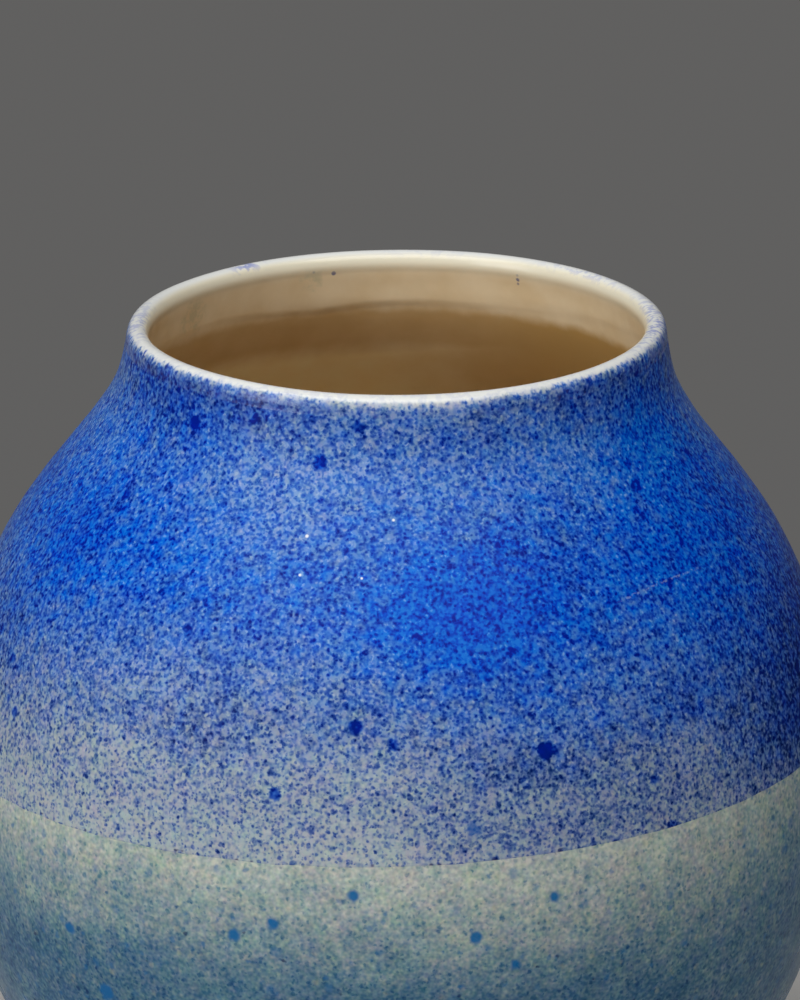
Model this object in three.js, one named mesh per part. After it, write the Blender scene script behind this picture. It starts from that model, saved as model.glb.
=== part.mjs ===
// A hand-thrown stoneware flower vase: a round belly, a short wide collar and a rolled lip, on a foot ring.
// The vase is one fired body under three glaze coats. Each coat is a thin shell of its own, laid on the clay.
// Millimetres, +Z up. The origin is the centre of the foot, on the surface that the vase stands on.
import * as THREE from "three";

// Driving dimensions of the glazed outside, from the foot to the lip.
const HEIGHT = 290; // foot to the top of the lip
const RIM_RADIUS = 85; // outside of the lip
const LIP_ROLL = 3.4; // radius of the rounded lip's section
const COLLAR = { r: 85.4, z: 284 }; // where the collar meets the lip
const SHOULDER = { r: 121.4, z: 223 }; // the steepest part of the shoulder's slope
const BELLY = { r: 143, z: 140 }; // the widest part
const FOOT_TOP = { r: 76, z: 10 }; // where the belly meets the foot ring

// The Bezier handles that shape the curves between those points.
const FOOT_TOP_HANDLE = { r: 110.2, z: 27.1 };
const BELLY_HANDLE_BELOW = { r: BELLY.r, z: 82.9 };
const BELLY_HANDLE_ABOVE = { r: BELLY.r, z: 171.6 };
const SHOULDER_HANDLE_BELOW = { r: 134, z: 202.2 };
const SHOULDER_HANDLE_ABOVE = { r: 105.9, z: 248.3 };
const COLLAR_HANDLE = { r: 86.9, z: 261.8 };

// Wall, floor and foot ring.
const LIP_WALL = 6.8; // the wall's full thickness, coats included, at the lip
const BELLY_WALL = 8.2;
const FLOOR_WALL = 9.5;
const FLOOR_HEIGHT = 13; // top of the floor at its centre
const FLOOR_CORNER = { r: 11, z: 5.2 }; // how far in and down the wall runs on as it turns into the floor
const LEVEL_FLOOR_SHARE = 0.5; // the share of the floor's radius that is almost level
const FOOT_OUTER_RADIUS = 73.5;
const FOOT_INNER_RADIUS = 61;
const FOOT_CHAMFER = 1.2;
const FOOT_WAIST = { r: 73.8, z: 7.5 }; // the turned groove above the foot ring
const RECESS_HEIGHT = 5; // the hollow under the floor, inside the foot ring

// Glaze coats.
const COAT = 0.8; // thickness of each coat
const GAP = 0.3; // space between neighbouring pieces
const LIP_BREAK_HEIGHT = COLLAR.z - GAP; // the outer coat ends here, just under the liner coat's edge
const MASK_HEIGHT = 158.8; // the masked line between the two outer coats
const MASK_LEAN = 0.031; // the masked line's rise for each millimetre towards +X
const MASK_REACH = 70; // height over which the wall's rows follow that lean
const BARE_CLAY_HEIGHT = 13; // the lower coat is wiped away below this

// How finely the outline and the turn are cut.
const TURN_SEGMENTS = 40;
const ROW_SPACING = 15;
const MIN_CURVE_STEPS = 3;
const LIP_STEPS = 4;
const FLOOR_STEPS = 6;

const vec = (r, z) => new THREE.Vector2(r, z);

const curveThrough = (...points) => new THREE.CubicBezierCurve(...points.map(({ r, z }) => vec(r, z)));

// The glazed outside, from the foot ring up to the collar: three curves that join smoothly.
function outsideCurves() {
  return [
    curveThrough(FOOT_TOP, FOOT_TOP_HANDLE, BELLY_HANDLE_BELOW, BELLY),
    curveThrough(BELLY, BELLY_HANDLE_ABOVE, SHOULDER_HANDLE_BELOW, SHOULDER),
    curveThrough(SHOULDER, SHOULDER_HANDLE_ABOVE, COLLAR_HANDLE, COLLAR),
  ];
}

// Stations along the outside: each has its place and the direction that points out of the wall.
function stationsAlong(curve) {
  const steps = Math.max(MIN_CURVE_STEPS, Math.round(curve.getLength() / ROW_SPACING));
  const stations = [];
  for (let i = 0; i <= steps; i++) {
    const place = curve.getPointAt(i / steps);
    const along = curve.getTangentAt(i / steps);
    stations.push({ place, out: vec(along.y, -along.x) });
  }
  return stations;
}

const outside = outsideCurves().flatMap((curve, i) => stationsAlong(curve).slice(i === 0 ? 0 : 1));

const onOutside = (station, depth) => station.place.clone().addScaledVector(station.out, -depth);

// The wall's thickness: thin at the lip, thicker at the belly, thickest at the floor.
function wallAt(z) {
  if (z > BELLY.z) {
    return THREE.MathUtils.mapLinear(z, BELLY.z, COLLAR.z, BELLY_WALL, LIP_WALL);
  }
  return THREE.MathUtils.mapLinear(z, FOOT_TOP.z, BELLY.z, FLOOR_WALL, BELLY_WALL);
}

const onInside = (station, depth) => onOutside(station, wallAt(station.place.y) - depth);

// The rounded lip, from the outside over the top to the inside.
function lipArc(depth) {
  const centre = vec(RIM_RADIUS - LIP_ROLL, HEIGHT - LIP_ROLL);
  const radius = LIP_ROLL - depth;
  const points = [];
  for (let i = 0; i <= LIP_STEPS; i++) {
    const angle = (Math.PI * i) / LIP_STEPS;
    points.push(vec(centre.x + radius * Math.cos(angle), centre.y + radius * Math.sin(angle)));
  }
  return points;
}

// The floor, from the foot of the inside wall to the axis.
function floorCurve(depth) {
  const start = onInside(outside[0], depth);
  const level = FLOOR_HEIGHT - depth;
  const curve = new THREE.CubicBezierCurve(
    start,
    vec(start.x - FLOOR_CORNER.r, start.y - FLOOR_CORNER.z),
    vec(start.x * LEVEL_FLOOR_SHARE, level),
    vec(0, level),
  );
  return curve.getPoints(FLOOR_STEPS).slice(1);
}

// The point of the outside at a given height, at a given depth into the wall.
function outsideAt(z, depth) {
  const above = outside.findIndex((station) => station.place.y >= z);
  const low = outside[above - 1];
  const high = outside[above];
  const share = (z - low.place.y) / (high.place.y - low.place.y);
  const place = low.place.clone().lerp(high.place, share);
  const out = low.out.clone().lerp(high.out, share).normalize();
  return place.addScaledVector(out, -depth);
}

// The stretch of the outside between two heights, going up.
function outsideBetween(low, high, depth) {
  const between = outside.filter((s) => s.place.y > low + GAP && s.place.y < high - GAP);
  const rows = between.map((station) => onOutside(station, depth));
  return [outsideAt(low, depth), ...rows, outsideAt(high, depth)];
}

// A coat on the outside: up its glazed face and back down its face on the clay.
function outerCoat(low, high) {
  const face = outsideBetween(low, high, 0);
  const back = outsideBetween(low, high, COAT).reverse();
  return [...face, ...back, face[0].clone()];
}

// The liner coat: its face on the clay from the axis up and over the lip, then its glazed face back down.
function linerOutline() {
  const collarTop = outside.at(-1);
  const overLip = (depth) => [onOutside(collarTop, depth), ...lipArc(depth)];
  return [
    ...floorCurve(COAT).reverse(),
    ...outside.map((s) => onInside(s, COAT)),
    ...overLip(COAT).reverse(),
    ...overLip(0),
    ...outside.toReversed().map((s) => onInside(s, 0)),
    ...floorCurve(0),
  ];
}

function clayOutline() {
  const depth = COAT + GAP;
  const foot = [
    vec(0, RECESS_HEIGHT),
    vec(FOOT_INNER_RADIUS - FOOT_CHAMFER, RECESS_HEIGHT),
    vec(FOOT_INNER_RADIUS, FOOT_CHAMFER),
    vec(FOOT_INNER_RADIUS + FOOT_CHAMFER, 0),
    vec(FOOT_OUTER_RADIUS - FOOT_CHAMFER, 0),
    vec(FOOT_OUTER_RADIUS, FOOT_CHAMFER),
    vec(FOOT_WAIST.r, FOOT_WAIST.z),
  ];
  return [
    ...foot,
    ...outside.map((s) => onOutside(s, depth)),
    ...lipArc(depth),
    ...outside.toReversed().map((s) => onInside(s, depth)),
    ...floorCurve(depth),
    foot[0].clone(),
  ];
}

// The masked line was ruled a little out of level. The wall's rows near it follow its lean along the wall.
function leanRows(geometry) {
  const position = geometry.getAttribute("position");
  for (let i = 0; i < position.count; i++) {
    const x = position.getX(i);
    const z = position.getZ(i);
    const reach = 1 - Math.abs(z - MASK_HEIGHT) / MASK_REACH;
    if (reach <= 0) {
      continue;
    }
    const risen = z + MASK_LEAN * x * THREE.MathUtils.smoothstep(reach, 0, 1);
    const grown = outsideAt(risen, 0).x / outsideAt(z, 0).x;
    position.setXYZ(i, x * grown, position.getY(i) * grown, risen);
  }
}

function turned(name, outline, material) {
  const geometry = new THREE.LatheGeometry(outline, TURN_SEGMENTS);
  geometry.rotateX(Math.PI / 2);
  leanRows(geometry);
  const mesh = new THREE.Mesh(geometry, material);
  mesh.name = name;
  return mesh;
}

const stoneware = new THREE.MeshStandardMaterial({ color: 0xb59a7c, roughness: 0.85, metalness: 0 });
const creamGlaze = new THREE.MeshStandardMaterial({ color: 0xd8d2c2, roughness: 0.25, metalness: 0 });
const cobaltGlaze = new THREE.MeshStandardMaterial({ color: 0x66789c, roughness: 0.3, metalness: 0 });
const tealGreyGlaze = new THREE.MeshStandardMaterial({ color: 0x8b989a, roughness: 0.3, metalness: 0 });

const vase = new THREE.Group();
vase.add(turned("clay_body", clayOutline(), stoneware));
vase.add(turned("liner_glaze", linerOutline(), creamGlaze));
vase.add(turned("upper_glaze", outerCoat(MASK_HEIGHT + GAP / 2, LIP_BREAK_HEIGHT), cobaltGlaze));
vase.add(turned("lower_glaze", outerCoat(BARE_CLAY_HEIGHT, MASK_HEIGHT - GAP / 2), tealGreyGlaze));

export default vase;
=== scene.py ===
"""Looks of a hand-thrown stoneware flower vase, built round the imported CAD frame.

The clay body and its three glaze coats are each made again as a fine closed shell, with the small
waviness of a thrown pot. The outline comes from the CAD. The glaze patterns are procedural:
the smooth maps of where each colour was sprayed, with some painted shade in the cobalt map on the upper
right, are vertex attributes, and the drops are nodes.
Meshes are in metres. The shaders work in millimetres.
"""

import math

import bpy
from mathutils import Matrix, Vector, noise


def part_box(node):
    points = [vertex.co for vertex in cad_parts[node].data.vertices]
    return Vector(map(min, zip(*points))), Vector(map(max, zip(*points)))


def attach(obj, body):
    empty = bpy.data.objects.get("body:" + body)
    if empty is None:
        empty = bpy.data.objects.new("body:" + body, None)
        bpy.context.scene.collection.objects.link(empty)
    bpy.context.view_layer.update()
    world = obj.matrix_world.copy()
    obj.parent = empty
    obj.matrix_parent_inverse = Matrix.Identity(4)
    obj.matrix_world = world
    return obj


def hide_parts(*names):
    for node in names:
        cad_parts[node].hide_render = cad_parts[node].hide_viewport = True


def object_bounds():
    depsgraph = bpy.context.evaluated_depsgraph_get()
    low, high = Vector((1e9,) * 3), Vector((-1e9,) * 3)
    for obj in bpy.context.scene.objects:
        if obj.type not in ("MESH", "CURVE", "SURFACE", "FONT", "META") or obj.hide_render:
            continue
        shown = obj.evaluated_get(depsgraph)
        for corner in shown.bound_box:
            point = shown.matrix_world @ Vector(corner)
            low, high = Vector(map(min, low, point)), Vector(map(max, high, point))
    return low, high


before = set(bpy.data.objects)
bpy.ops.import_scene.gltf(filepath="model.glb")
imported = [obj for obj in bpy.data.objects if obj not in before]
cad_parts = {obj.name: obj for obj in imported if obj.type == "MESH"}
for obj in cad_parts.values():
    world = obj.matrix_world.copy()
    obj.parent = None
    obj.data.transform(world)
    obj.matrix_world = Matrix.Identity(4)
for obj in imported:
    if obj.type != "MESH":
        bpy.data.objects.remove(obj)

CAD_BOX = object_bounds()
MM = 0.001
TAU = 2 * math.pi

# ---------------------------------------------------------------- camera
CAMERA_PLACE = (0.0012, -2.4054, 0.9899)
CAMERA_PITCH = math.radians(17.52)
CAMERA_LENS_MM = 286.3

# ---------------------------------------------------------------- fineness of the shells
TURNS = 288
OUTSIDE_ROW = 1.5 * MM
LIP_ROW = 0.5 * MM
LEDGE_ROW = 0.7 * MM
INSIDE_ROW = 3 * MM
HIDDEN_ROW = 6 * MM
CLAY_ROW = 3 * MM
FOOT_ROW = 1 * MM
RECESS_RINGS = (0, 20 * MM, 40 * MM)
LIP_ZONE = 8 * MM
LEDGE_ZONE = 32 * MM
SHARP_ANGLE = math.radians(50)
AXIS_NEARNESS = 0.01 * MM

# ---------------------------------------------------------------- the shape that hands leave
LIP_SIDE_RISE = 0.7 * MM
LIP_RISE_LEFT = 0.6 * MM
LIP_DIP_FRONT = -0.3 * MM
OUT_OF_ROUND = 0.4 * MM
SHOULDER_SHIFT = -0.9 * MM
RING_DEPTH_OUTSIDE = 0.05 * MM
RING_DEPTH_INSIDE = 0.25 * MM
LEDGE_DROP = 16.6 * MM
LEDGE_STEP = 0.45 * MM
LEDGE_RISE_RIGHT = 5 * MM
LEDGE_DIP_LEFT = -2.2 * MM
LEDGE_WAVE = 0.7 * MM
COAT = 0.8 * MM
COAT_STEP = 0.06 * MM
MASK_WAVE = 0.35 * MM
MASK_RISE_LEFT = 1.3 * MM
FOOT_EDGE_WAVE = 0.9 * MM


# ================================================================ small maths
def smoothstep(low, high, value):
    t = min(1.0, max(0.0, (value - low) / (high - low)))
    return t * t * (3 - 2 * t)


def bump(value, centre, reach):
    """1 at the centre, falling to 0 at the reach on both sides."""
    return 1 - smoothstep(0, reach, abs(value - centre))


def along_table(table, value):
    """Reads a table of (value, result) pairs in rising order, with smooth steps between them."""
    if value <= table[0][0]:
        return table[0][1]
    for (low, first), (high, last) in zip(table, table[1:]):
        if value <= high:
            return first + (last - first) * (value - low) / (high - low)
    return table[-1][1]


def degrees_between(a, b):
    return (a - b + 180) % 360 - 180


def wave(azimuth, height, seed, turn_scale=1.5, height_scale=0.03):
    """Smooth noise from -1 to 1 that meets itself round the vase. Height in metres."""
    spot = (
        math.cos(azimuth) * turn_scale,
        math.sin(azimuth) * turn_scale,
        height / height_scale + seed * 17.3,
    )
    return noise.noise(spot)


# ================================================================ outline from the frame
def wall_rows(node, facing):
    """Where the node's rows cross the -Y half of the Y-Z plane, as (radius, height) going up.

    facing is 1 for the rows that face away from the axis and -1 for those that face towards it.
    """
    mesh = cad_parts[node].data
    rows = set()
    for face in mesh.polygons:
        away = Vector((face.center.x, face.center.y, 0)).normalized()
        if facing * face.normal.dot(away) <= 0:
            continue
        for index in face.vertices:
            x, y, z = mesh.vertices[index].co
            if abs(x) < AXIS_NEARNESS and y < 0:
                rows.add((round(-y, 6), round(z, 6)))
    return sorted(rows, key=lambda row: row[1])


def smooth_line(points, spacing):
    """A smooth curve through the points, cut into steps about as long as spacing(start, end) says."""
    points = [Vector(point) for point in points]
    gaps = [(b - a).length for a, b in zip(points, points[1:])]
    runs = [(b - a) / gap for a, b, gap in zip(points, points[1:], gaps)]
    slopes = [runs[0]]
    for run_in, run_out, gap_in, gap_out in zip(runs, runs[1:], gaps, gaps[1:]):
        slopes.append((run_in * gap_out + run_out * gap_in) / (gap_in + gap_out))
    slopes.append(runs[-1])
    line = []
    for i, gap in enumerate(gaps):
        steps = max(1, round(gap / spacing(points[i], points[i + 1])))
        for step in range(steps):
            t = step / steps
            line.append(
                points[i] * (1 + t * t * (2 * t - 3))
                + points[i + 1] * (t * t * (3 - 2 * t))
                + slopes[i] * gap * (t * (t - 1) ** 2)
                + slopes[i + 1] * gap * (t * t * (t - 1))
            )
    line.append(points[-1])
    return line


class Row:
    """One row of a shell: a point of the outline and the way out of the wall there.

    side is 1 outside the vase and -1 inside it. run is the distance along the wall from where the
    piece's pattern starts: the masked line, or the top of the lip.
    """

    def __init__(self, point, out, side, run=0.0):
        self.point = point
        self.out = out
        self.side = side
        self.run = run

    def moved(self, depth=0.0, along=0.0):
        """The row sunk into the wall by depth and slid along the outline, both in metres."""
        ahead = Vector((-self.out.y, self.out.x))
        return Row(self.point - self.out * depth + ahead * along, self.out, self.side, self.run)


def rows_of(line, side):
    rows = []
    for i, point in enumerate(line):
        along = line[min(i + 1, len(line) - 1)] - line[max(i - 1, 0)]
        rows.append(Row(point, Vector((along.y, -along.x)).normalized(), side))
    return rows


def measured(rows, start):
    """Sets each row's run from the row with index start: positive before it, negative after it."""
    run = 0.0
    for before, row in zip(rows[start:], rows[start + 1 :]):
        run -= (row.point - before.point).length
        row.run = run
    run = 0.0
    for before, row in zip(reversed(rows[: start + 1]), reversed(rows[:start])):
        run += (row.point - before.point).length
        row.run = run
    return rows


HEIGHT = CAD_BOX[1].z
COLLAR_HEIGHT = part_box("upper_glaze")[1].z
BARE_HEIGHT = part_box("lower_glaze")[0].z
MASK_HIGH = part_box("lower_glaze")[1].z
MASK_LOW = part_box("upper_glaze")[0].z
MASK_HEIGHT = (MASK_HIGH + MASK_LOW) / 2
BELLY_RADIUS = CAD_BOX[1].y
MASK_LEAN = (MASK_HIGH - MASK_LOW) / (2 * BELLY_RADIUS)
MASK_REACH = 70 * MM
CLAY_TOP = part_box("clay_body")[1].z
CLAY_DEPTH = HEIGHT - CLAY_TOP
FOOT_ZONE = 9 * MM

clay_outside = wall_rows("clay_body", 1)
clay_inside = wall_rows("clay_body", -1)
FOOT_ROWS = [row for row in clay_outside if row[1] < FOOT_ZONE]
RECESS_ROWS = [row for row in clay_inside if row[1] < FOOT_ZONE]
wall_up = [row for row in clay_outside if row[1] > FOOT_ZONE]
wall_down = [row for row in reversed(clay_inside) if row[1] > FOOT_ZONE]
if (wall_up[-1][0] - wall_down[0][0]) < 0.1 * MM:
    wall_down = wall_down[1:]
floor_centre = (0.0, wall_down[-1][1])


def wall_spacing(start, end):
    if max(start.y, end.y) > HEIGHT - LIP_ZONE:
        return LIP_ROW
    if end.y > start.y:
        return OUTSIDE_ROW
    return LEDGE_ROW if start.y > HEIGHT - LEDGE_ZONE else INSIDE_ROW


CLAY = rows_of(smooth_line([*wall_up, *wall_down, floor_centre], wall_spacing), 1)
top = max(range(len(CLAY)), key=lambda i: CLAY[i].point.y)
for row in CLAY[top:]:
    row.side = -1
SKIN = measured([row.moved(depth=-CLAY_DEPTH) for row in CLAY], top)


def outside_radius(height):
    """The glazed outside's radius at a height, before the handmade waviness."""
    above = next(i for i, row in enumerate(SKIN) if row.point.y >= height or i == top)
    low, high = SKIN[max(above - 1, 0)].point, SKIN[above].point
    share = (height - low.y) / (high.y - low.y)
    return low.x + (high.x - low.x) * min(1.0, max(0.0, share))


def skin_between(low, high):
    """The outside's rows between two heights, with a row exactly at each end."""
    rows = []
    for start, end in zip(SKIN[:top], SKIN[1:top]):
        for height in (low, high):
            if start.point.y < height <= end.point.y:
                share = (height - start.point.y) / (end.point.y - start.point.y)
                point = start.point.lerp(end.point, share)
                out = start.out.lerp(end.out, share)
                rows.append(Row(point, out, 1, end.run))
        if low < end.point.y < high:
            rows.append(end)
    return sorted(rows, key=lambda row: row.point.y)


def thinned(rows, spacing):
    """Fewer rows for a hidden face: both ends, and rows about the given spacing apart."""
    kept = [rows[0]]
    for row in rows[1:-1]:
        if (row.point - kept[-1].point).length >= spacing:
            kept.append(row)
    return [*kept, rows[-1]]


# ================================================================ waviness of a thrown pot
def relief(azimuth, height, side):
    """How far throwing rings and the ledge inside the collar push the wall outwards, in metres."""
    fade = smoothstep(HEIGHT - 4 * MM, HEIGHT - 12 * MM, height)
    turn = (math.cos(azimuth), math.sin(azimuth))
    if side > 0:
        ring = noise.noise((height / (7 * MM) + azimuth / TAU, turn[0] * 0.5, turn[1] * 0.5))
        return RING_DEPTH_OUTSIDE * ring * fade
    ring = noise.noise((height / (6 * MM) + 31, turn[0] * 0.8, turn[1] * 0.8))
    degrees = math.degrees(azimuth)
    ledge = HEIGHT - LEDGE_DROP + LEDGE_WAVE * wave(azimuth, 0, 12, turn_scale=4)
    ledge += LEDGE_RISE_RIGHT * bump(degrees_between(degrees, 100), 0, 55)
    ledge += LEDGE_DIP_LEFT * bump(degrees_between(degrees, -158), 0, 26)
    below_ledge = smoothstep(ledge + 0.8 * MM, ledge - 2.4 * MM, height)
    above_fade = smoothstep(ledge - 26 * MM, ledge - 5 * MM, height)
    under = below_ledge * above_fade
    crisp = 0.3 + 0.7 * bump(degrees_between(degrees, -168), 0, 50)
    return RING_DEPTH_INSIDE * ring * fade + LEDGE_STEP * crisp * under


def lip_rise(azimuth):
    degrees = math.degrees(azimuth)
    left = bump(degrees_between(degrees, -52), 0, 45)
    front = bump(degrees_between(degrees, 14), 0, 48)
    rise = LIP_SIDE_RISE * math.sin(azimuth) + LIP_RISE_LEFT * left + LIP_DIP_FRONT * front
    return rise + 0.15 * MM * wave(azimuth, 0, 5, turn_scale=2.5)


def sideways(height):
    """How far the wall leans over to one side at a height."""
    if height > HEIGHT - 45 * MM:
        return SHOULDER_SHIFT * smoothstep(HEIGHT, HEIGHT - 45 * MM, height)
    low = 0.35 + 0.65 * smoothstep(110 * MM, 190 * MM, height)
    return SHOULDER_SHIFT * low * smoothstep(0, 60 * MM, height)


def by_hand(azimuth, radius, height, side, leans):
    """Where a point of the true outline sits on the real, slightly uneven pot."""
    if leans:
        reach = 1 - smoothstep(0, 1, abs(height - MASK_HEIGHT) / MASK_REACH)
        rise = MASK_LEAN * radius * math.sin(azimuth) * reach
        uneven = MASK_WAVE * wave(azimuth, 0, 40, turn_scale=12)
        uneven += MASK_RISE_LEFT * bump(degrees_between(math.degrees(azimuth), -55), 0, 60)
        rise += uneven * bump(height, MASK_HEIGHT, 12 * MM)
        rise += FOOT_EDGE_WAVE * wave(azimuth, 0, 50, turn_scale=4) * bump(height, BARE_HEIGHT, 9 * MM)
        radius *= outside_radius(height + rise) / outside_radius(height)
        height += rise
    share = min(1.0, radius / (60 * MM))
    radius += share * relief(azimuth, height, side)
    radius += share * OUT_OF_ROUND * wave(azimuth, height, 3, turn_scale=0.9, height_scale=0.2)
    height += smoothstep(HEIGHT - 40 * MM, HEIGHT - 6 * MM, height) * lip_rise(azimuth)
    return Vector((radius * math.sin(azimuth) + sideways(height), -radius * math.cos(azimuth), height))


def shell(name, rows, closed, leans=False):
    """A closed body of revolution through the rows, smooth-shaded. Rows on the axis become one point."""
    points, runs, rings, faces = [], [], [], []
    for row in rows:
        radius, height = row.point
        count = 1 if radius < AXIS_NEARNESS else TURNS
        rings.append(range(len(points), len(points) + count))
        for turn in range(count):
            azimuth = TAU * turn / TURNS
            points.append(by_hand(azimuth, radius, height, row.side, leans))
            runs.append(row.run / MM)
    pairs = list(zip(rings, rings[1:] + rings[:1] if closed else rings[1:]))
    for below, above in pairs:
        for turn in range(TURNS):
            after = (turn + 1) % TURNS
            if len(below) == 1:
                faces.append((below[0], above[after], above[turn]))
            elif len(above) == 1:
                faces.append((below[turn], below[after], above[0]))
            else:
                faces.append((below[turn], below[after], above[after], above[turn]))
    mesh = bpy.data.meshes.new(name)
    mesh.from_pydata(points, [], faces)
    mesh.shade_smooth()
    mesh.set_sharp_from_angle(angle=SHARP_ANGLE)
    mesh.attributes.new("run", "FLOAT", "POINT").data.foreach_set("value", runs)
    piece = bpy.data.objects.new(name, mesh)
    bpy.context.collection.objects.link(piece)
    return piece


# ================================================================ the four pieces
def rolled_edge(row, towards):
    """A coat's free edge: a half circle from its face round to its back."""
    radius = COAT / 2
    rows = []
    for step in range(7):
        angle = math.pi * step / 6
        depth = radius - radius * math.cos(angle)
        rows.append(row.moved(depth=depth, along=towards * radius * math.sin(angle)))
    return rows


def make_lower_glaze():
    face = skin_between(BARE_HEIGHT, MASK_HEIGHT)
    for row in face:
        row.run = MASK_HEIGHT - row.point.y
    sunk = []
    for row in face:
        nearness = smoothstep(MASK_HEIGHT - 5 * MM, MASK_HEIGHT, row.point.y)
        sunk.append(row.moved(depth=COAT_STEP * nearness))
    back = [row.moved(depth=COAT) for row in thinned(face, HIDDEN_ROW)]
    edge = rolled_edge(face[0], -1)[1:-1]
    return shell("lower_glaze_coat", [*sunk, *reversed(back), *reversed(edge)], closed=True, leans=True)


def make_upper_glaze():
    face = skin_between(MASK_HEIGHT, COLLAR_HEIGHT)
    for row in face:
        row.run = row.point.y - MASK_HEIGHT
    lowest = face[0]
    edge = [
        lowest.moved(depth=COAT_STEP),
        lowest.moved(depth=0.45 * COAT_STEP, along=0.10 * MM),
        lowest.moved(depth=0.1 * COAT_STEP, along=0.28 * MM),
        lowest.moved(along=0.6 * MM),
    ]
    back = [row.moved(depth=COAT) for row in thinned(face, HIDDEN_ROW)]
    return shell("upper_glaze_coat", [*edge, *face[1:], *reversed(back)], closed=True, leans=True)


def make_liner_glaze():
    start = next(i for i, row in enumerate(SKIN) if row.point.y > COLLAR_HEIGHT)
    first = skin_between(COLLAR_HEIGHT - MM, COLLAR_HEIGHT)[-1]
    face = [first, *SKIN[start:]]
    back = [row.moved(depth=COAT) for row in thinned(face, HIDDEN_ROW / 3)]
    for row in (face[-1], back[-1]):
        row.point.x = 0.0
    return shell("liner_glaze_coat", [*reversed(back), *face], closed=False)


def foot_spacing(start, end):
    return FOOT_ROW


def make_clay_body():
    ceiling_edge, ceiling = RECESS_ROWS[-1]
    foot = smooth_line([(ceiling_edge - 2 * MM, ceiling), *reversed(RECESS_ROWS)], foot_spacing)
    foot += smooth_line([*FOOT_ROWS, wall_up[0]], foot_spacing)[:-1]
    recess = [Row(Vector((radius, ceiling)), Vector((0, -1)), 1) for radius in RECESS_RINGS]
    wall = thinned(CLAY, CLAY_ROW)
    wall[-1].point.x = 0.0
    return shell("clay_body_thrown", [*recess, *rows_of(foot, 1), *wall], closed=False)


pieces = {
    "clay_body": make_clay_body(),
    "liner_glaze": make_liner_glaze(),
    "upper_glaze": make_upper_glaze(),
    "lower_glaze": make_lower_glaze(),
}
for node, piece in pieces.items():
    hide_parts(node)
    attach(piece, "root")


# ================================================================ where the colours were sprayed, and some painted shade
# How much pigment lies on the upper coat, by height in mm. 0 is the pale glaze and 1 the darkest blue.
COBALT_BY_HEIGHT = [
    (160, 0.08), (170, 0.145), (180, 0.20), (190, 0.275), (200, 0.34), (212, 0.43),
    (226, 0.50), (242, 0.52), (252, 0.45), (262, 0.37), (272, 0.40), (284, 0.46),
]
# How azure the pigment fires, by height in mm: it melts into a clear blue where it is thick.
AZURE_BY_HEIGHT = [
    (158, -0.2), (172, -0.1), (186, 0.06), (200, 0.25), (212, 0.44), (224, 0.60), (236, 0.73), (252, 0.72),
    (266, 0.64), (276, 0.47), (284, 0.37),
]
# Where it melted more or less: azimuth, height, reach in degrees and in mm, and how much.
AZURE_PASSES = [
    (13, 227, 14, 17, 0.45),
    (-62, 232, 14, 20, 0.22),
    (-46, 276, 10, 8, 0.20),
    (34, 268, 12, 12, 0.15),
    (41, 196, 8, 8, 0.12),
    (-72, 198, 12, 14, 0.10),
    (52, 225, 20, 36, 0.30),
    (60, 268, 12, 16, 0.40),
    (-20, 206, 24, 12, -0.12),
    (-20, 258, 26, 20, -0.13),
    (32, 258, 14, 14, -0.10),
    (24, 202, 14, 9, 0.28),
    (-64, 268, 9, 10, 0.12),
    (3, 226, 10, 16, 0.20),
    (-42, 240, 12, 14, 0.16),
    (64, 172, 18, 18, 0.22),
    (34, 204, 12, 10, -0.10),
]
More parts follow.
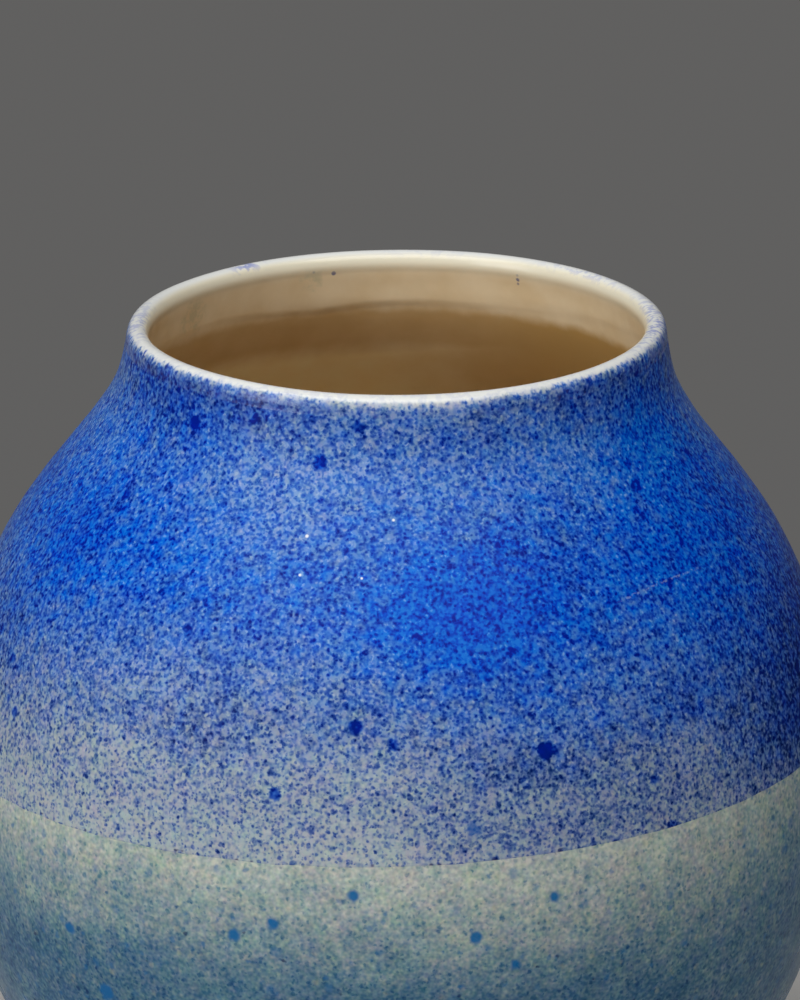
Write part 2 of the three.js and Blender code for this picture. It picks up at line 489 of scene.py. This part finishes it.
# Passes of the spray gun; on the upper right, near azimuth 50 to 80 and 225 to 255 mm, they are partly
# painted shade that darkens that side: azimuth in degrees (0 is the front and 90 is +X), height in mm, reach
# in degrees and in mm, and how much pigment each adds.
COBALT_AND_SHADE_PASSES = [
    (-52, 276, 18, 14, 0.17),
    (-20, 262, 16, 16, -0.07),
    (18, 234, 14, 16, 0.15),
    (2, 284, 14, 6, -0.15),
    (40, 200, 26, 24, 0.14),
    (16, 208, 8, 8, 0.08),
    (-56, 245, 14, 18, 0.10),
    (-38, 204, 10, 8, -0.12),
    (52, 236, 20, 50, 0.08),
    (0, 186, 8, 5, -0.10),
    (22, 170, 17, 14, 0.24),
    (-4, 166, 8, 14, -0.05),
    (86, 178, 25, 36, 0.66),
    (76, 240, 16, 45, 0.12),
    (62, 278, 16, 14, 0.15),
    (-13, 216, 16, 12, -0.05),
    (-12, 194, 14, 10, -0.06),
    (-30, 246, 12, 14, -0.06),
    (-62, 232, 12, 16, 0.07),
    (-72, 198, 14, 18, 0.08),
    (34, 211, 14, 15, -0.09),
    (16, 187, 7, 7, 0.12),
    (-30, 284, 12, 5, 0.08),
    (14, 279, 10, 7, 0.08),
    (-62, 286, 14, 8, 0.08),
    (44, 284, 12, 8, 0.08),
    (-48, 232, 9, 14, -0.05),
    (-22, 210, 14, 8, -0.04),
    (34, 205, 12, 8, -0.04),
    (-28, 194, 9, 8, 0.05),
    (41, 196, 8, 7, 0.06),
    (40, 186, 7, 6, -0.05),
    (-72, 200, 12, 14, 0.05),
    (-6, 240, 7, 8, -0.07),
    (46, 222, 8, 10, -0.08),
    (-16, 214, 9, 8, -0.04),
    (-36, 211, 8, 8, -0.05),
    (34, 270, 12, 8, -0.05),
    (2, 270, 12, 7, -0.05),
    (-6, 252, 20, 8, -0.02),
    (64, 172, 18, 16, 0.23),
    (18, 187, 8, 6, 0.12),
    (22, 175, 8, 6, -0.14),
    (62, 185, 14, 20, 0.06),
    (-32, 212, 12, 8, 0.04),
    (-66, 212, 10, 8, 0.05),
    (-42, 198, 8, 6, 0.05),
    (4, 226, 10, 12, 0.04),
    (-21, 207, 6, 12, 0.07),
    (-6, 199, 6, 6, 0.12),
    (41, 200, 6, 6, 0.06),
    (-60, 284, 16, 8, 0.06),
    (-32, 281, 8, 6, 0.07),
    (66, 252, 10, 14, 0.09),
    (-18, 250, 12, 8, -0.03),
    (-32, 198, 16, 7, 0.05),
    (-38, 186, 7, 6, -0.12),
    (42, 185, 6, 6, -0.06),
    (-13, 226, 9, 8, -0.03),
    (96, 230, 26, 30, -0.08),
    (128, 262, 22, 16, -0.10),
    (150, 214, 20, 18, 0.12),
    (178, 246, 24, 24, 0.10),
    (-150, 196, 18, 16, -0.10),
    (-122, 232, 20, 22, 0.08),
    (-96, 182, 16, 12, 0.10),
]
# How much teal lies on the lower coat, by height in mm.
TEAL_BY_HEIGHT = [
    (13, 0.45), (40, 0.52), (80, 0.5), (112, 0.44), (124, 0.33),
    (132, 0.20), (140, 0.12), (149, 0.02), (157, -0.05),
]


def sprayed(passes, azimuth, height):
    total = 0.0
    for centre, middle, reach, tall, amount in passes:
        turn = degrees_between(math.degrees(azimuth), centre) / reach
        total += amount * math.exp(-(turn**2) - ((height / MM - middle) / tall) ** 2)
    return total


# Pigment of the cobalt coats, with painted shade on the upper right among the passes.
def cobalt_and_shade_at(azimuth, height):
    mottle = 0.05 * wave(azimuth, height, 8, turn_scale=5, height_scale=0.022)
    return along_table(COBALT_BY_HEIGHT, height / MM) + sprayed(COBALT_AND_SHADE_PASSES, azimuth, height) + mottle


def azure_at(azimuth, height):
    return along_table(AZURE_BY_HEIGHT, height / MM) + sprayed(AZURE_PASSES, azimuth, height)


TEAL_PASSES = [
    (-75, 118, 30, 30, 0.07),
    (-32, 140, 14, 7, 0.08),
    (12, 135, 9, 12, -0.11),
    (70, 140, 18, 26, 0.26),
    (-45, 132, 10, 8, -0.05),
    (20, 108, 40, 10, 0.03),
]


def teal_at(azimuth, height):
    mottle = 0.06 * wave(azimuth, height, 21, turn_scale=6, height_scale=0.015)
    return along_table(TEAL_BY_HEIGHT, height / MM) + sprayed(TEAL_PASSES, azimuth, height) + mottle


# Where cobalt ran onto the lip in streaks: azimuth in degrees, reach, and how much.
LIP_STREAKS = [
    (86, 20, 0.75),
    (-90, 16, 0.5),
    (-143, 4, 0.8),
    (-10, 70, 0.15),
    (130, 14, 0.35),
    (172, 12, 0.12),
]


def streaks_at(azimuth, height):
    degrees = math.degrees(azimuth)
    streaks = [
        amount * bump(degrees_between(degrees, centre), 0, 1.6 * reach)
        for centre, reach, amount in LIP_STREAKS
    ]
    return max(streaks)


def closeness_at(azimuth, height):
    """How much closer to the lip the cobalt reaches, in mm: least of all at the front."""
    degrees = math.degrees(azimuth)
    front = bump(degrees_between(degrees, 6), 0, 30)
    return 1 - front


def paint(piece, name, amount_at):
    """Stores a smooth map over the piece as a vertex attribute."""
    values = [amount_at(math.atan2(v.co.x, -v.co.y), v.co.z) for v in piece.data.vertices]
    piece.data.attributes.new(name, "FLOAT", "POINT").data.foreach_set("value", values)


# The cobalt map holds some painted shade on the upper right.
for node in ("liner_glaze", "upper_glaze"):
    paint(pieces[node], "pigment", cobalt_and_shade_at)
    paint(pieces[node], "azure", azure_at)
paint(pieces["liner_glaze"], "streaks", streaks_at)
paint(pieces["liner_glaze"], "closeness", closeness_at)
paint(pieces["lower_glaze"], "pigment", teal_at)


# ================================================================ nodes
class Nodes:
    """Short ways to add shader nodes. Each method returns the new node's output."""

    def __init__(self, name):
        self.material = bpy.data.materials.new(name)
        self.material.use_nodes = True
        self.tree = self.material.node_tree
        self.shader = self.tree.nodes["Principled BSDF"]

    def feed(self, socket, value):
        if isinstance(value, bpy.types.NodeSocket):
            self.tree.links.new(value, socket)
        else:
            socket.default_value = value

    def add(self, kind, inputs=(), output=0, **settings):
        node = self.tree.nodes.new(kind)
        for key, value in settings.items():
            setattr(node, key, value)
        for key, value in dict(inputs).items():
            self.feed(node.inputs[key], value)
        return node.outputs[output]

    def math(self, operation, a, b=0.0, clamp=False):
        return self.add("ShaderNodeMath", {0: a, 1: b}, operation=operation, use_clamp=clamp)

    def at_least(self, value, low, softness):
        """The value, held above a lower limit with a soft bend."""
        return self.add("ShaderNodeMath", {0: value, 1: low, 2: softness}, operation="SMOOTH_MAX")

    def step(self, value, low, high):
        """0 below low and 1 above high, with a smooth rise between."""
        inputs = {"Value": value, "From Min": low, "From Max": high}
        return self.add("ShaderNodeMapRange", inputs, interpolation_type="SMOOTHSTEP")

    def spread(self, value, low, high, to_low, to_high):
        inputs = {"Value": value, "From Min": low, "From Max": high, "To Min": to_low, "To Max": to_high}
        return self.add("ShaderNodeMapRange", inputs)

    def attribute(self, name):
        return self.add("ShaderNodeAttribute", attribute_name=name, output="Fac")

    def place(self):
        """The point in millimetres."""
        at = self.add("ShaderNodeTexCoord", output="Object")
        return self.add("ShaderNodeVectorMath", {0: at, "Scale": 1000.0}, operation="SCALE")

    def noise(self, at, size, detail=0.0, roughness=0.5):
        """Noise whose lumps are about size millimetres across."""
        inputs = {"Vector": at, "Scale": 1 / size, "Detail": detail, "Roughness": roughness}
        return self.add("ShaderNodeTexNoise", inputs)

    def mix(self, factor, a, b, blend="MIX"):
        node = self.tree.nodes.new("ShaderNodeMix")
        node.data_type = "RGBA"
        node.blend_type = blend
        for key, value in ((0, factor), (6, a), (7, b)):
            self.feed(node.inputs[key], value)
        return node.outputs[2]

    def drops(self, at, size, share, radius, softness):
        """Round drops, one to a cell of the given size in a share of the cells. All in mm."""
        cell = self.tree.nodes.new("ShaderNodeTexVoronoi")
        self.feed(cell.inputs["Vector"], at)
        self.feed(cell.inputs["Scale"], 1 / size)
        lot = self.add("ShaderNodeSeparateColor", {"Color": cell.outputs["Color"]}, output="Red")
        girth = self.add("ShaderNodeSeparateColor", {"Color": cell.outputs["Color"]}, output="Green")
        width = self.spread(girth, 0, 1, 0.45 * radius / size, radius / size)
        edge = self.math("SUBTRACT", width, cell.outputs["Distance"])
        drop = self.step(edge, -softness / size, softness / size)
        return self.math("MULTIPLY", drop, self.math("LESS_THAN", lot, share))

    def blots(self, at, places, softness):
        """Blots at (place in mm, radius in mm, amount). Where they overlap, the strongest shows."""
        total = 0.0
        for place, radius, amount in places:
            away = self.add("ShaderNodeVectorMath", {0: at, 1: place}, output="Value", operation="DISTANCE")
            edge = self.math("SUBTRACT", radius, away)
            blot = self.math("MULTIPLY", self.step(edge, -softness, softness), amount)
            total = self.math("MAXIMUM", total, blot)
        return total

    def ramp(self, value, stops):
        """Colours at values from RAMP_LOW to RAMP_HIGH, typed as they look on a screen, from 0 to 255."""
        node = self.tree.nodes.new("ShaderNodeValToRGB")
        self.feed(node.inputs[0], self.spread(value, RAMP_LOW, RAMP_HIGH, 0, 1))
        band = node.color_ramp
        while len(band.elements) < len(stops):
            band.elements.new(0.5)
        for i, (element, stop) in enumerate(zip(band.elements, stops)):
            element.position = i / (len(stops) - 1)
            element.color = screen_colour(*stop)
        return node.outputs[0]

    def sum(self, *values):
        total = values[0]
        for value in values[1:]:
            total = self.math("ADD", total, value)
        return total


def screen_colour(red, green, blue):
    return (*((value / 255) ** 2.2 for value in (red, green, blue)), 1)


# Glaze colours at pigment amounts of -0.25, 0, 0.25, 0.5, 0.75 and 1.
RAMP_LOW, RAMP_HIGH = -0.25, 1.0
GREY_BLUES = [(206, 211, 205), (168, 180, 191), (118, 139, 180), (72, 99, 161), (34, 63, 130), (6, 32, 98)]
AZURES = [(178, 200, 249), (122, 166, 242), (34, 123, 226), (2, 97, 216), (0, 67, 197), (0, 36, 158)]
TEAL_GREYS = [(208, 212, 200), (164, 179, 178), (112, 142, 158), (64, 107, 140), (28, 74, 118), (6, 44, 90)]
TEAL_DROP = screen_colour(26, 106, 168)
LIP_WHITE = screen_colour(240, 241, 237)
# Cream inside the lip edge: partly the liner's own cream, partly a painted warm highlight.
LIP_CREAM_AND_HIGHLIGHT = screen_colour(246, 239, 214)
STREAK_BLUE = screen_colour(128, 142, 210)
BEAD_NAVY = screen_colour(44, 52, 104)
MELTED_BLUE = screen_colour(36, 92, 172)
SCRATCH_BLUE = screen_colour(140, 164, 226)
# White of the painted highlight glints.
GLINT_WHITE = screen_colour(250, 252, 255)
SPECK_CREAM = screen_colour(196, 196, 164)
NAVY_DOT = screen_colour(30, 50, 96)
INNER_SPOT_BLUE = screen_colour(66, 68, 128)
INNER_SMEAR_GREEN = screen_colour(186, 184, 150)
# The liner's browns, each as its darker and lighter clouds: its own tan near the lip, a lit copy painted
# lighter as light on the wall above the ledge, a shaded copy painted darker as shade below the ledge and on
# the right, and the right side's darkest brown, painted shade.
LINER_TANS = (screen_colour(240, 214, 171), screen_colour(250, 228, 190))
LINER_SHADED = (screen_colour(208, 172, 119), screen_colour(217, 184, 134))
LINER_LIT = (screen_colour(252, 230, 178), screen_colour(255, 240, 196))
LINER_SHADE_RIGHT = screen_colour(202, 163, 100)
CLAY_BROWNS = ((0.42, 0.31, 0.20, 1), (0.56, 0.44, 0.31, 1))
CLAY_SAND = (0.22, 0.15, 0.09, 1)


def grain(nodes, at, strength):
    """Even grain of a sprayed pigment, around 0."""
    coarse = nodes.math("SUBTRACT", nodes.noise(at, 1.5), 0.5)
    fine = nodes.math("SUBTRACT", nodes.noise(at, 0.9), 0.5)
    patches = nodes.math("SUBTRACT", nodes.noise(at, 5.0, detail=1.0), 0.5)
    mixed = nodes.sum(coarse, nodes.math("MULTIPLY", fine, 0.6), nodes.math("MULTIPLY", patches, 0.4))
    return nodes.math("MULTIPLY", mixed, strength)


def roughened(nodes, at, reach, lump=1.4):
    """The place, moved about by up to reach millimetres, so that drops aren't perfect circles."""
    inputs = {"Vector": at, "Scale": 1 / lump, "Detail": 1.0}
    noise_colour = nodes.add("ShaderNodeTexNoise", inputs, output=1)
    centred = nodes.add("ShaderNodeVectorMath", {0: noise_colour, 1: (0.5, 0.5, 0.5)}, operation="SUBTRACT")
    shift = nodes.add("ShaderNodeVectorMath", {0: centred, "Scale": 2 * reach}, operation="SCALE")
    return nodes.add("ShaderNodeVectorMath", {0: at, 1: shift}, operation="ADD")


def surface_place(azimuth_degrees, height_mm, leans=True):
    """A point of the glazed outside in mm."""
    azimuth = math.radians(azimuth_degrees)
    height = height_mm * MM
    return by_hand(azimuth, outside_radius(height), height, 1, leans) / MM


def scratch(nodes, at, start, end, width):
    """A broken scratch across the glaze from one (azimuth, height) to another."""
    start, end = Vector(surface_place(*start)), Vector(surface_place(*end))
    middle = (start + end) / 2
    outward = Vector((middle.x, middle.y, middle.xy.length)).normalized()
    across = (end - start).cross(outward).normalized()
    beside = nodes.add("ShaderNodeVectorMath", {0: at, 1: across}, output="Value", operation="DOT_PRODUCT")
    off = nodes.math("ABSOLUTE", nodes.math("SUBTRACT", beside, across.dot(start)))
    away = nodes.add("ShaderNodeVectorMath", {0: at, 1: middle}, output="Value", operation="DISTANCE")
    reach = (end - start).length / 2
    on_line = nodes.step(off, width, 0.3 * width)
    inside = nodes.math("MULTIPLY", on_line, nodes.step(away, reach, 0.7 * reach))
    unbroken = nodes.step(nodes.noise(at, 1.3, detail=1.0), 0.42, 0.62)
    return nodes.math("MULTIPLY", inside, unbroken)


def inner_places(spots):
    """Places of the glazed inside in mm, with the radius and amount of each spot."""
    places = []
    for turn, height_mm, radius, amount in spots:
        row = min(SKIN[top:], key=lambda row: abs(row.point.y - height_mm * MM))
        place = by_hand(math.radians(turn), row.point.x, row.point.y, -1, False) / MM
        places.append((place, radius, amount))
    return places


# The boldest drops that the gun spat, to the nearest 5 degrees and 5 mm: azimuth in degrees, height in
# mm, radius in mm and amount. The rest of its spatter is a layer of drops.
COBALT_BLOTS = [
    (-45, 275, 2.0, 0.8),
    (-30, 280, 1.5, 0.7),
    (-15, 270, 2.0, 0.8),
    (50, 255, 2.2, 0.8),
    (-5, 200, 2.0, 0.8),
    (0, 195, 1.6, 0.6),
    (20, 190, 2.5, 0.9),
    (-15, 180, 1.6, 0.9),
    (35, 175, 1.5, 0.6),
]
TEAL_BLOTS = [
    (-45, 125, 2.0),
    (-40, 105, 2.8),
    (-20, 135, 2.1),
    (-15, 140, 1.8),
    (-5, 150, 1.9),
    (20, 145, 1.8),
    (10, 135, 2.0),
    (15, 125, 1.7),
]
# Painted glints: white dots painted as highlights where pinholes in the glaze catch the light: azimuth in
# degrees, height in mm, radius in mm.
PAINTED_GLINTS = [(-15, 240, 0.4), (-15, 250, 0.5), (-5, 240, 0.35), (0, 255, 0.4)]

# Faint scratches: azimuth and height of both ends, width in mm, and how pale.
SCRATCHES = [((35, 228), (55, 230), 0.5, 0.6), ((-40, 203), (-30, 206), 0.5, 0.5)]


# Layers of drops, each: cell size in mm, share of the cells with a drop where the spray is thin and
# where it is thick, largest radius in mm, softness of the edge in mm, and pigment in a drop.
COBALT_DROPS = [
    (1.15, 0.55, 0.85, 0.56, 0.18, 0.28),
    (1.9, 0.45, 0.75, 0.80, 0.24, 0.28),
    (3.3, 0.35, 0.55, 1.05, 0.28, 0.29),
    (6.5, 0.25, 0.40, 1.50, 0.40, 0.34),
]


# Cobalt that fell inside the collar: azimuth in degrees, height in mm, radius in mm, amount.
INNER_SPOTS = [
    (-165, 284, 0.75, 0.95),
    (-160, 285, 0.4, 0.6),
    (150, 285, 0.45, 0.6),
    (150, 283.5, 0.6, 0.85),
    (150, 282, 0.45, 0.6),
]
# Where the liner ran thin and greenish: the same.
INNER_SMEARS = [(-160, 283, 3.6, 0.5), (-125, 278, 6.0, 0.4)]


def cobalt_colour(nodes, at, cover=None):
    """Sprayed cobalt on the pale glaze: an even haze, grain, drops of many sizes and a few blots.

    cover, from 0 to 1, thins it all out towards a bare edge.
    """
    sprayed_on = nodes.attribute("pigment")
    thick = nodes.spread(sprayed_on, 0.05, 0.5, 0, 1)
    uneven = roughened(nodes, at, 0.45)
    pigment = nodes.sum(sprayed_on, grain(nodes, at, nodes.spread(thick, 0, 1, 0.62, 1.1)), -0.09)
    for size, share_thin, share_thick, radius, softness, amount in COBALT_DROPS:
        share = nodes.spread(thick, 0, 1, share_thin, share_thick)
        drops = nodes.drops(uneven, size, share, radius, softness)
        strength = nodes.spread(thick, 0, 1, 1.25 * amount, 0.9 * amount)
        pigment = nodes.math("ADD", pigment, nodes.math("MULTIPLY", drops, strength))
    places = [(surface_place(turn, height), radius, amount) for turn, height, radius, amount in COBALT_BLOTS]
    lumpy = roughened(nodes, at, 0.9, lump=3.0)
    spatter = nodes.math("MULTIPLY", nodes.drops(lumpy, 14.0, 0.55, 1.9, 0.7), 0.6)
    blots = nodes.math("MAXIMUM", nodes.blots(lumpy, places, 0.8), spatter)
    pigment = nodes.math("ADD", pigment, nodes.math("MULTIPLY", blots, 0.8))
    haze = nodes.math("SUBTRACT", nodes.math("MULTIPLY", sprayed_on, 0.75), 0.13)
    pigment = nodes.at_least(pigment, haze, 0.12)
    flecks = nodes.drops(roughened(nodes, at, 0.8), 1.3, 0.6, 0.6, 0.35)
    flecks = nodes.math("MULTIPLY", flecks, nodes.spread(thick, 0, 1, 0.05, 0.2))
    off_blots = nodes.spread(blots, 0, 0.5, 1, 0)
    pigment = nodes.math("SUBTRACT", pigment, nodes.math("MULTIPLY", flecks, off_blots))
    if cover is not None:
        pigment = nodes.math("ADD", pigment, nodes.spread(cover, 0, 1, -0.8, 0))
    melt = nodes.math("MULTIPLY", nodes.math("SUBTRACT", nodes.noise(at, 4.0, detail=1.0), 0.5), 1.2)
    melt = nodes.math("ADD", nodes.math("MULTIPLY", melt, thick), nodes.math("MULTIPLY", blots, 0.5))
    azure = nodes.math("ADD", nodes.attribute("azure"), melt, clamp=True)
    colour = nodes.mix(azure, nodes.ramp(pigment, GREY_BLUES), nodes.ramp(pigment, AZURES))
    return varied(nodes, colour, at, 0.12), pigment


def varied(nodes, colour, at, amount):
    """Small shifts of hue from one speck to the next, and broader ones over the wall."""
    for scale in (0.7, 0.15):
        hues = nodes.add("ShaderNodeTexNoise", {"Vector": at, "Scale": scale, "Detail": 1.0}, output=1)
        colour = nodes.mix(amount, colour, hues, blend="OVERLAY")
    return colour


def glaze_finish(nodes, colour, at, relief_height, roughness, shine=0.5):
    shader = nodes.shader
    nodes.feed(shader.inputs["Base Color"], colour)
    cloud = nodes.noise(at, 9.0, detail=3.0)
    nodes.feed(shader.inputs["Roughness"], nodes.spread(cloud, 0.3, 0.7, roughness - 0.05, roughness + 0.06))
    shader.inputs["IOR"].default_value = 1.5
    shader.inputs["Specular IOR Level"].default_value = shine
    peel = nodes.noise(at, 5.0, detail=2.0)
    height = nodes.math("ADD", nodes.math("MULTIPLY", peel, 0.6), relief_height)
    normal = nodes.add("ShaderNodeBump", {"Height": height, "Strength": 0.25, "Distance": 0.0003})
    nodes.feed(shader.inputs["Normal"], normal)
    return nodes.material


def upper_glaze_material():
    nodes = Nodes("cobalt_speckled_glaze")
    at = nodes.place()
    colour, pigment = cobalt_colour(nodes, at)
    near_mask = nodes.step(nodes.attribute("run"), 1.3, 0.5)
    beads = nodes.math("MULTIPLY", nodes.drops(at, 2.6, 0.45, 0.8, 0.3), near_mask)
    colour = nodes.mix(nodes.math("MULTIPLY", beads, 0.8), colour, BEAD_NAVY)
    melted = nodes.blots(roughened(nodes, at, 1.2), [(surface_place(10, 169), 2.2, 0.75)], 1.3)
    colour = nodes.mix(melted, colour, MELTED_BLUE)
    for start, end, width, amount in SCRATCHES:
        line = scratch(nodes, roughened(nodes, at, 0.5), start, end, width)
        colour = nodes.mix(nodes.math("MULTIPLY", line, amount), colour, SCRATCH_BLUE)
    # Painted highlights: small white glints painted on the glaze.
    glint_places = [(surface_place(turn, height), radius, 1.0) for turn, height, radius in PAINTED_GLINTS]
    colour = nodes.mix(nodes.blots(at, glint_places, 0.25), colour, GLINT_WHITE)
    return glaze_finish(nodes, colour, at, nodes.math("MULTIPLY", pigment, 0.3), 0.30, shine=0.06)


def lower_glaze_material():
    nodes = Nodes("teal_clouded_glaze")
    at = nodes.place()
    uneven = roughened(nodes, at, 0.8)
    cloud = nodes.math("SUBTRACT", nodes.noise(at, 8.0, detail=2.0), 0.5)
    small = nodes.drops(uneven, 1.6, 0.45, 0.68, 0.25)
    middling = nodes.drops(uneven, 3.2, 0.35, 1.0, 0.4)
    pigment = nodes.sum(
        nodes.attribute("pigment"),
        grain(nodes, at, 0.43),
        nodes.math("MULTIPLY", cloud, 0.3),
        nodes.math("MULTIPLY", small, 0.2),
        nodes.math("MULTIPLY", middling, 0.2),
        -0.05,
    )
    colour = nodes.ramp(pigment, TEAL_GREYS)
    creamy = nodes.math("MULTIPLY", nodes.drops(uneven, 4.2, 0.35, 1.1, 0.6), 0.3)
    colour = varied(nodes, nodes.mix(creamy, colour, SPECK_CREAM), at, 0.14)
    places = [(surface_place(turn, height), radius, 0.95) for turn, height, radius in TEAL_BLOTS]
    large = nodes.math("MULTIPLY", nodes.drops(uneven, 8.0, 0.5, 1.8, 0.9), 0.45)
    little = nodes.math("MULTIPLY", nodes.drops(uneven, 4.6, 0.35, 1.1, 0.5), 0.55)
    boldest = nodes.blots(roughened(nodes, at, 1.0, lump=3.0), places, 0.9)
    teal = nodes.math("MAXIMUM", boldest, nodes.math("MAXIMUM", large, little))
    colour = nodes.mix(teal, colour, TEAL_DROP)
    away_from_mask = nodes.step(nodes.attribute("run"), 6, 30)
    navy = nodes.math("MULTIPLY", nodes.drops(uneven, 6.0, 0.3, 0.75, 0.3), away_from_mask)
    colour = nodes.mix(nodes.math("MULTIPLY", navy, 0.8), colour, NAVY_DOT)
    return glaze_finish(nodes, colour, at, 0.0, 0.30, shine=0.10)


def liner_glaze_material():
    nodes = Nodes("cream_liner_glaze")
    at = nodes.place()
    run = nodes.attribute("run")
    cloud = nodes.spread(nodes.noise(at, 12.0, detail=3.0), 0.3, 0.7, 0, 1)
    # The inside is painted in lit and shaded copies of the liner: painted light above the ledge on the left,
    # painted shade below the ledge and towards +X, and half of each deep down.
    tan = nodes.mix(cloud, *LINER_TANS)
    shaded_tan = nodes.mix(cloud, *LINER_SHADED)
    lit_tan = nodes.mix(cloud, *LINER_LIT)
    waver = nodes.math("MULTIPLY", nodes.math("SUBTRACT", nodes.noise(at, 9.0, detail=3.0), 0.5), 4.0)
    wavering = nodes.math("ADD", run, waver)
    across = nodes.add("ShaderNodeSeparateXYZ", {"Vector": at}, output="X")
    in_painted_shade = nodes.math("MAXIMUM", nodes.step(wavering, -46, -35), nodes.step(across, -20, 50))
    ground = nodes.mix(in_painted_shade, lit_tan, shaded_tan)
    ground = nodes.mix(nodes.step(across, 10, 62), ground, LINER_SHADE_RIGHT)
    ground = nodes.mix(nodes.step(wavering, -125, -75), nodes.mix(0.5, lit_tan, shaded_tan), ground)
    ground = nodes.mix(nodes.step(wavering, -24.5, -19.5), ground, tan)
    mottle = nodes.spread(nodes.noise(at, 3.0, detail=3.0), 0.42, 0.58, 0, 1)
    smears = nodes.blots(roughened(nodes, at, 2.0), inner_places(INNER_SMEARS), 2.5)
    ground = nodes.mix(nodes.math("MULTIPLY", smears, mottle), ground, INNER_SMEAR_GREEN)
    spots = nodes.blots(roughened(nodes, at, 0.25), inner_places(INNER_SPOTS), 0.25)
    ground = nodes.mix(spots, ground, INNER_SPOT_BLUE)
    # A cream band inside the lip edge: partly the liner's own cream and partly a painted warm highlight of
    # light bounced from the inside.
    ground = nodes.mix(nodes.step(run, -10, -4), ground, LIP_CREAM_AND_HIGHLIGHT)
    ground = nodes.mix(nodes.step(run, -3.5, -1), ground, LIP_WHITE)
    stretched = nodes.add("ShaderNodeVectorMath", {0: at, 1: (1.0, 1.0, 0.5)}, operation="MULTIPLY")
    fringe = nodes.math("SUBTRACT", nodes.noise(stretched, 1.5, detail=1.0), 0.5)
    fringe = nodes.math("MULTIPLY", fringe, 3.0)
    cover = nodes.step(nodes.sum(run, fringe, nodes.attribute("closeness")), 2.2, 7.0)
    cobalt, pigment = cobalt_colour(nodes, at, cover)
    colour = nodes.mix(nodes.step(cover, 0.0, 0.45), ground, cobalt)
    streak_noise = nodes.spread(nodes.noise(at, 2.2, detail=3.0), 0.47, 0.58, 0, 1)
    on_lip = nodes.math("MULTIPLY", nodes.step(run, -5.0, -1.0), streak_noise)
    streaks = nodes.math("MULTIPLY", on_lip, nodes.attribute("streaks"))
    colour = nodes.mix(streaks, colour, STREAK_BLUE)
    return glaze_finish(nodes, colour, at, 0.0, 0.2)


def stoneware_material():
    nodes = Nodes("bare_stoneware")
    at = nodes.place()
    sand = nodes.noise(at, 0.8, detail=4.0, roughness=0.7)
    cloud = nodes.noise(at, 18.0, detail=3.0)
    colour = nodes.mix(nodes.spread(cloud, 0.3, 0.7, 0, 1), *CLAY_BROWNS)
    colour = nodes.mix(nodes.spread(sand, 0.35, 0.7, 0.5, 0), colour, CLAY_SAND)
    nodes.feed(nodes.shader.inputs["Base Color"], colour)
    nodes.feed(nodes.shader.inputs["Roughness"], nodes.spread(sand, 0.3, 0.7, 0.75, 0.95))
    normal = nodes.add("ShaderNodeBump", {"Height": sand, "Strength": 0.5, "Distance": 0.0003})
    nodes.feed(nodes.shader.inputs["Normal"], normal)
    return nodes.material


pieces["clay_body"].data.materials.append(stoneware_material())
pieces["liner_glaze"].data.materials.append(liner_glaze_material())
pieces["upper_glaze"].data.materials.append(upper_glaze_material())
pieces["lower_glaze"].data.materials.append(lower_glaze_material())


# ================================================================ stage, light and camera
def plain_material(name, colour, roughness):
    material = bpy.data.materials.new(name)
    material.use_nodes = True
    shader = material.node_tree.nodes["Principled BSDF"]
    shader.inputs["Base Color"].default_value = colour
    shader.inputs["Roughness"].default_value = roughness
    return material


FLOOR_RADIUS = 0.5
FLOOR_THICKNESS = 0.03
FLOOR_CLEARANCE = 0.0001
FLOOR_COLOUR = (0.62, 0.61, 0.59, 1)
BACKDROP_COLOUR = (1, 0.985, 0.97, 1)
BACKDROP_BRIGHT, BACKDROP_DIM = 0.118, 0.03  # strength at the low and high end of its fall along +X
BACKDROP_FALL = (0.15, 0.75)


def make_floor():
    middle = (0, 0, -FLOOR_THICKNESS / 2 - FLOOR_CLEARANCE)
    bpy.ops.mesh.primitive_cylinder_add(
        vertices=128, radius=FLOOR_RADIUS, depth=FLOOR_THICKNESS, location=middle
    )
    floor = bpy.context.object
    floor.name = "pale_floor"
    floor.data.materials.append(plain_material("pale_floor", FLOOR_COLOUR, 0.7))


def add_softbox(name, place, aim, size, power):
    light = bpy.data.lights.new(name, "AREA")
    light.shape = "RECTANGLE"
    light.size, light.size_y = size
    light.energy = power
    lamp = bpy.data.objects.new(name, light)
    lamp.location = place
    lamp.rotation_euler = (Vector(aim) - Vector(place)).to_track_quat("-Z", "Y").to_euler()
    bpy.context.collection.objects.link(lamp)


def make_stage():
    make_floor()
    add_softbox("overhead_softbox", (-0.15, -0.95, 2.0), (0, 0, 0.2), (3.0, 1.5), 42)
    add_softbox("left_fill", (-1.9, -1.5, 0.9), (0, 0, 0.15), (1.2, 1.4), 14)
    world = bpy.data.worlds.new("grey_studio")
    world.use_nodes = True
    tree = world.node_tree
    place = tree.nodes.new("ShaderNodeTexCoord")
    axes = tree.nodes.new("ShaderNodeSeparateXYZ")
    fall = tree.nodes.new("ShaderNodeMapRange")
    fall.inputs["From Min"].default_value = BACKDROP_FALL[0]
    fall.inputs["From Max"].default_value = BACKDROP_FALL[1]
    fall.inputs["To Min"].default_value = BACKDROP_BRIGHT
    fall.inputs["To Max"].default_value = BACKDROP_DIM
    tree.links.new(place.outputs["Generated"], axes.inputs[0])
    tree.links.new(axes.outputs["X"], fall.inputs["Value"])
    tree.links.new(fall.outputs[0], tree.nodes["Background"].inputs["Strength"])
    tree.nodes["Background"].inputs["Color"].default_value = BACKDROP_COLOUR
    bpy.context.scene.world = world
    bpy.context.scene.view_settings.view_transform = "Standard"


def make_camera():
    data = bpy.data.cameras.new("camera")
    data.lens = CAMERA_LENS_MM
    data.clip_end = 50
    camera = bpy.data.objects.new("camera", data)
    camera.location = CAMERA_PLACE
    camera.rotation_euler = (math.pi / 2 - CAMERA_PITCH, 0, 0)
    bpy.context.collection.objects.link(camera)
    bpy.context.scene.camera = camera


make_stage()
make_camera()
